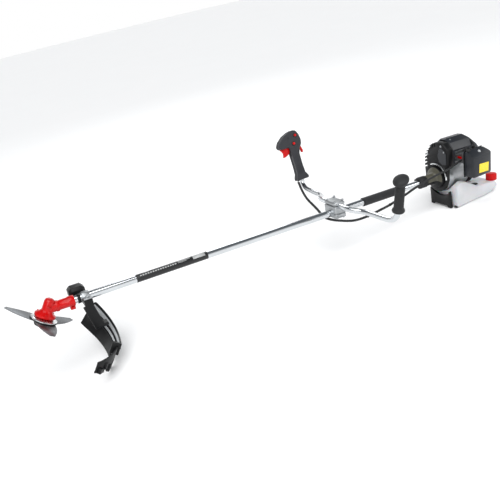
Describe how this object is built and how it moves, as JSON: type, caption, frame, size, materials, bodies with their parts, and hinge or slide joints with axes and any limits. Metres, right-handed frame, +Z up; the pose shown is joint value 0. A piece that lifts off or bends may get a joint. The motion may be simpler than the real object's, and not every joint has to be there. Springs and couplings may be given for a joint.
{
  "type": "string trimmer",
  "caption": "Petrol brush cutter: straight drive tube, bike handlebar with throttle handle, bladed gearhead, curved guard, rear two-stroke engine and fuel tank.",
  "frame": {"origin": "centre of the bounding box at ground level, under the machine as it stands on its stand and guard", "axes": "+X from the blade back to the engine, +Y to the operator's right, +Z up"},
  "size_m": [1.9849, 0.7471, 0.4155],
  "materials": {
    "aluminium": "fine die-cast grain",
    "black_plastic": "moulded, satin",
    "brass": "sintered bearing bronze",
    "ceramic": "glazed insulator",
    "chrome": "bright polished plating",
    "dark_steel": "heat-resistant black",
    "foam": "closed-cell foam",
    "grey_case": "satin olive-grey casting",
    "handle_grey": "moulded, fine texture",
    "red_paint": "gloss red enamel",
    "red_plastic": "moulded, glossy",
    "rubber": "moulded, textured",
    "steel": "ground and lightly oiled",
    "tank_white": "translucent blow-moulded polyethylene"
  },
  "bodies": {
    "frame": {"air_filter_base": "black_plastic", "air_filter_cover": "black_plastic", "air_filter_element": "foam", "cable_loom": "black_plastic", "carburettor": "aluminium", "clutch_case": "grey_case", "crankcase": "aluminium", "cylinder": "aluminium", "engine_cover": "black_plastic", "fan_housing": "black_plastic", "foam_sleeve": "foam", "fuel_tank": "tank_white", "gearhead_clamp_screw": "dark_steel", "gearhead_housing": "red_paint", "guard_body": "black_plastic", "guard_bolt": "steel", "guard_clamp": "chrome", "guard_extension": "black_plastic", "guard_mount": "black_plastic", "handlebar": "chrome", "handlebar_bolt_left": "steel", "handlebar_bolt_right": "steel", "handlebar_clamp_base": "aluminium", "handlebar_clamp_cap": "aluminium", "handlebar_clamp_middle": "aluminium", "left_grip": "rubber", "line_cutter": "steel", "main_tube": "chrome", "muffler": "dark_steel", "recoil_starter": "black_plastic", "shaft_bush": "brass", "spark_plug": "ceramic", "spindle_bearing": "steel", "stand_bracket": "black_plastic", "throttle_cable": "handle_grey", "throttle_handle_inner": "handle_grey", "throttle_handle_outer": "handle_grey", "tube_clamp": "rubber"},
    "blade_set": {"output_spindle": "steel", "output_gear": "steel", "blade_adapter": "steel", "cutting_blade": "steel", "clamp_washer": "black_plastic", "blade_nut": "steel"},
    "drive_line": {"drive_shaft": "steel", "pinion_gear": "steel", "clutch_drum": "dark_steel"},
    "engine_shaft": {"crankshaft": "steel", "flywheel_fan": "aluminium", "clutch_rotor": "steel"},
    "piston": {"piston": "aluminium"},
    "throttle_trigger": {"throttle_trigger": "red_plastic"},
    "throttle_lock_lever": {"throttle_lock_lever": "red_plastic"},
    "stop_button": {"stop_button": "red_plastic"},
    "throttle_hold_button": {"throttle_hold_button": "red_plastic"},
    "carburettor_throttle_arm": {"carburettor_throttle_arm": "steel"},
    "choke_lever": {"choke_lever": "black_plastic"},
    "primer_bulb": {"primer_bulb": "red_plastic"},
    "fuel_cap": {"fuel_cap": "red_plastic"},
    "starter_handle": {"starter_handle": "black_plastic"}
  },
  "joints": [
    {"name": "blade_spin", "type": "hinge", "parent": "frame", "child": "blade_set", "pos_m": [-0.89882, -0.0052, 0.21226], "axis": [0.5899, 0, 0.8075], "continuous": true},
    {"name": "shaft_spin", "type": "hinge", "parent": "frame", "child": "drive_line", "pos_m": [-0.07779, -0.0052, 0.18607], "axis": [0.9974, 0, -0.0723], "continuous": true},
    {"name": "engine_spin", "type": "hinge", "parent": "frame", "child": "engine_shaft", "pos_m": [0.81985, -0.0052, 0.12099], "axis": [0.9974, 0, -0.0723], "continuous": true},
    {"name": "piston_stroke", "type": "slide", "parent": "frame", "child": "piston", "axis": [0.0723, 0, 0.9974], "range_m": [-0.017, 0.017]},
    {"name": "trigger_pull", "type": "hinge", "parent": "frame", "child": "throttle_trigger", "pos_m": [0.26592, 0.34259, 0.35433], "axis": [0.0052, -0.9659, 0.2588], "range_deg": [0, 14], "stiffness_Nm_per_rad": 0.3},
    {"name": "throttle_arm_turn", "type": "hinge", "parent": "frame", "child": "carburettor_throttle_arm", "pos_m": [0.80759, -0.0712, 0.19808], "axis": [0.9974, 0, -0.0723], "range_deg": [0, 63]},
    {"name": "lock_lever_press", "type": "hinge", "parent": "frame", "child": "throttle_lock_lever", "pos_m": [0.31395, 0.3431, 0.3553], "axis": [-0.0052, 0.9659, -0.2588], "range_deg": [0, 12], "stiffness_Nm_per_rad": 0.2},
    {"name": "stop_button_press", "type": "slide", "parent": "frame", "child": "stop_button", "axis": [-0.0052, 0.9659, -0.2588], "range_m": [0, 0.004], "stiffness_N_per_m": 400},
    {"name": "hold_button_press", "type": "slide", "parent": "frame", "child": "throttle_hold_button", "axis": [-0.0052, 0.9659, -0.2588], "range_m": [0, 0.004], "stiffness_N_per_m": 400},
    {"name": "choke_turn", "type": "hinge", "parent": "frame", "child": "choke_lever", "pos_m": [0.85242, -0.0948, 0.19683], "axis": [0, -1, 0], "range_deg": [0, 50]},
    {"name": "primer_press", "type": "slide", "parent": "frame", "child": "primer_bulb", "axis": [0.0723, 0, 0.9974], "range_m": [0, 0.004], "stiffness_N_per_m": 400},
    {"name": "fuel_cap_turn", "type": "hinge", "parent": "frame", "child": "fuel_cap", "pos_m": [0.97005, -0.0652, 0.06298], "axis": [0.0723, 0, 0.9974], "range_deg": [0, 270]},
    {"name": "starter_pull", "type": "slide", "parent": "frame", "child": "starter_handle", "axis": [0, 1, 0], "range_m": [0, 0.085], "stiffness_N_per_m": 60}
  ],
  "couplings": [
    {"joint": "shaft_spin", "follows": "blade_spin", "ratio": 1.3571},
    {"joint": "throttle_arm_turn", "follows": "trigger_pull", "ratio": 4.5}
  ]
}
